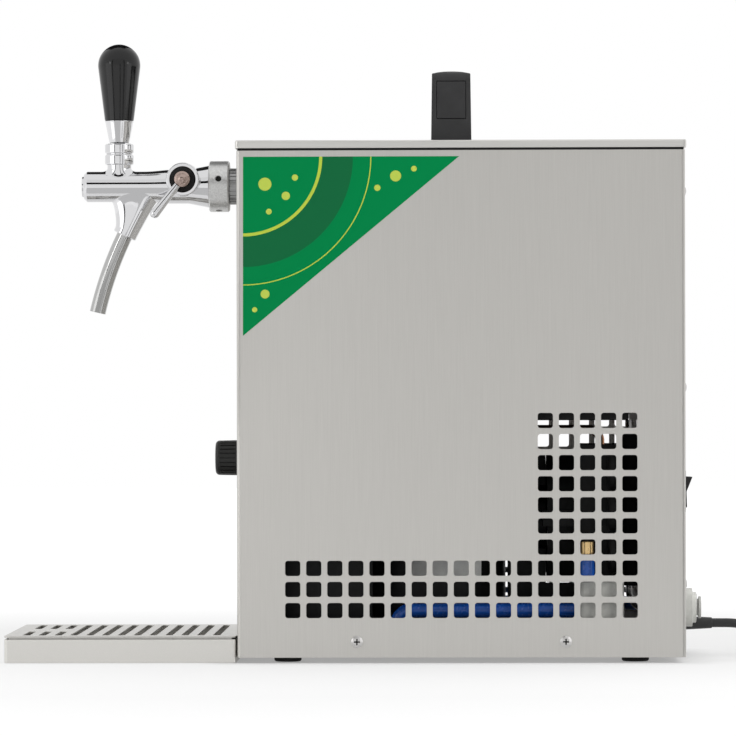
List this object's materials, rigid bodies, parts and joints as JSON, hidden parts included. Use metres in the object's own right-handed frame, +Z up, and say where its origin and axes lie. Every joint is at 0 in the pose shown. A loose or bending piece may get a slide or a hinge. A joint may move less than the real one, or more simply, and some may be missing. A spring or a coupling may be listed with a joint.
{
  "type": "draft beer dispenser",
  "caption": "Counter-top draft beer cooler in a steel case with a carry handle, a lever tap with a flow compensator, a drip tray, side vents, rear push fittings and a coiled mains lead.",
  "frame": {"origin": "middle of the outline on the floor, without the mains lead", "axes": "+Z up, -Y to the front where the tap is, +X to the right side panel"},
  "size_m": [0.2207, 0.7724, 0.4804],
  "materials": {
    "steel_panel": "satin",
    "steel_lid": "satin",
    "steel_tray": "satin",
    "steel_bright": "bright",
    "chrome": "polished",
    "rosy_brass": "polished",
    "copper_pipe": "bright",
    "knob_black": "gloss",
    "plastic_black": "matt",
    "rubber_black": "matt",
    "plastic_grey": "satin",
    "steel_black": "satin",
    "fins_black": "matt",
    "hose_blue": "gloss",
    "foam_black": "matt"
  },
  "bodies": {
    "case": {"base_plate": "steel_panel", "front_panel": "steel_panel", "right_side_panel": "steel_panel", "left_side_panel": "steel_panel", "rear_panel": "steel_panel", "lid": "steel_lid", "panel_screws": "steel_bright", "shank_backnut": "steel_bright", "union_nut": "steel_bright", "thermostat_nut": "steel_bright", "plug_pins": "steel_bright", "beer_pipes": "steel_bright", "tap_shank": "chrome", "tap_body": "chrome", "tap_spout": "chrome", "lever_bonnet": "chrome", "refrigerant_pipes": "copper_pipe", "carry_handle": "plastic_black", "handle_caps": "plastic_black", "switch_frame": "plastic_black", "cord_tie": "plastic_black", "terminal_box": "plastic_black", "fan_shroud": "plastic_black", "fan_motor": "plastic_black", "rubber_feet": "rubber_black", "lid_gasket": "rubber_black", "compensator_gland": "rubber_black", "strain_relief": "rubber_black", "power_cord": "rubber_black", "cord_coil": "rubber_black", "plug_body": "rubber_black", "compressor_mounts": "rubber_black", "beer_inlet_body": "plastic_grey", "air_outlet_body": "plastic_grey", "fitting_nuts": "plastic_grey", "air_pump": "plastic_grey", "compressor_shell": "steel_black", "compressor_bracket": "steel_black", "thermostat_body": "steel_black", "condenser_fins": "fins_black", "condenser_tubes": "fins_black", "air_hose": "hose_blue", "insulated_block": "foam_black"},
    "lever": {"lever_stem": "chrome", "lever_ferrule": "chrome", "lever_knob": "knob_black"},
    "valve": {"valve_piston": "steel_bright", "valve_seal": "rubber_black"},
    "compensator": {"compensator_spindle": "rosy_brass", "compensator_lever": "chrome"},
    "cone": {"compensator_cone": "steel_bright"},
    "dial": {"thermostat_shaft": "steel_bright", "thermostat_knob": "knob_black"},
    "rocker": {"switch_rocker": "plastic_black"},
    "fan": {"fan_blades": "plastic_black"},
    "tray": {"drip_pan": "steel_tray"},
    "grid": {"drip_grid": "steel_tray"},
    "inlet_collet": {"beer_inlet_collet": "plastic_grey"},
    "outlet_collet": {"air_outlet_collet": "plastic_grey"}
  },
  "joints": [
    {"name": "lever_tilt", "type": "hinge", "parent": "case", "child": "lever", "pos_m": [0, -0.19105, 0.396], "axis": [1, 0, 0], "range_deg": [0, 16]},
    {"name": "valve_slide", "type": "slide", "parent": "case", "child": "valve", "axis": [0, 1, 0], "range_m": [0, 0.0078]},
    {"name": "compensator_turn", "type": "hinge", "parent": "case", "child": "compensator", "pos_m": [0, -0.14045, 0.3735], "axis": [1, 0, 0], "range_deg": [-40, 40]},
    {"name": "cone_slide", "type": "slide", "parent": "case", "child": "cone", "axis": [0, 1, 0], "range_m": [-0.0027, 0.0027]},
    {"name": "dial_turn", "type": "hinge", "parent": "case", "child": "dial", "pos_m": [0, -0.10465, 0.1557], "axis": [0, 1, 0], "range_deg": [0, 280]},
    {"name": "rocker_tilt", "type": "hinge", "parent": "case", "child": "rocker", "pos_m": [0.052, 0.2486, 0.13], "axis": [1, 0, 0], "range_deg": [0, 20]},
    {"name": "fan_spin", "type": "hinge", "parent": "case", "child": "fan", "pos_m": [0, 0.14905, 0.109], "axis": [0, 1, 0], "continuous": true},
    {"name": "tray_pull", "type": "slide", "parent": "case", "child": "tray", "axis": [0, -1, 0], "range_m": [0, 0.12]},
    {"name": "grid_lift", "type": "slide", "parent": "tray", "child": "grid", "axis": [0, 0, 1], "range_m": [0, 0.06]},
    {"name": "inlet_press", "type": "slide", "parent": "case", "child": "inlet_collet", "axis": [0, -1, 0], "range_m": [0, 0.0014], "stiffness_N_per_m": 300},
    {"name": "outlet_press", "type": "slide", "parent": "case", "child": "outlet_collet", "axis": [0, -1, 0], "range_m": [0, 0.0014], "stiffness_N_per_m": 300}
  ],
  "couplings": [
    {"joint": "valve_slide", "follows": "lever_tilt", "m_per_rad": 0.0275},
    {"joint": "cone_slide", "follows": "compensator_turn", "m_per_rad": 0.0038}
  ]
}
